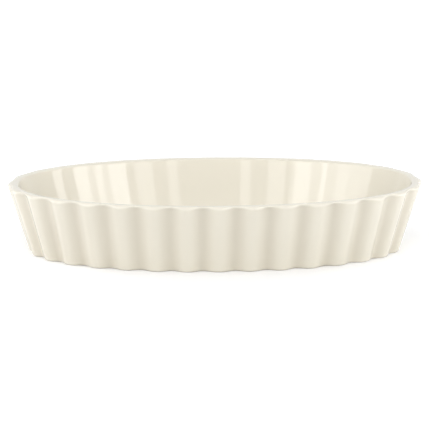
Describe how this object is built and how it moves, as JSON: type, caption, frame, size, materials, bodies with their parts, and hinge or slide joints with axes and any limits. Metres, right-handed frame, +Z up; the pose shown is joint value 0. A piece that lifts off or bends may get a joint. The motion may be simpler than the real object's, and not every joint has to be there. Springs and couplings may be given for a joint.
{
  "type": "souffle dish",
  "caption": "Shallow oval baking dish in ivory glazed china, with a fluted outer wall that leans outwards, a smooth inner wall, a thin rounded lip and a low foot ring.",
  "frame": {"origin": "centre of the oval at the plane of the foot ring, which the dish stands on", "axes": "+X along the oval's length, +Y across its width, +Z up from the foot to the rim"},
  "size_m": [0.184, 0.0996, 0.031],
  "materials": {
    "ivory_glaze": "glossy ivory glaze over a fired china body"
  },
  "bodies": {
    "root": {"dish": "ivory_glaze"}
  },
  "joints": []
}
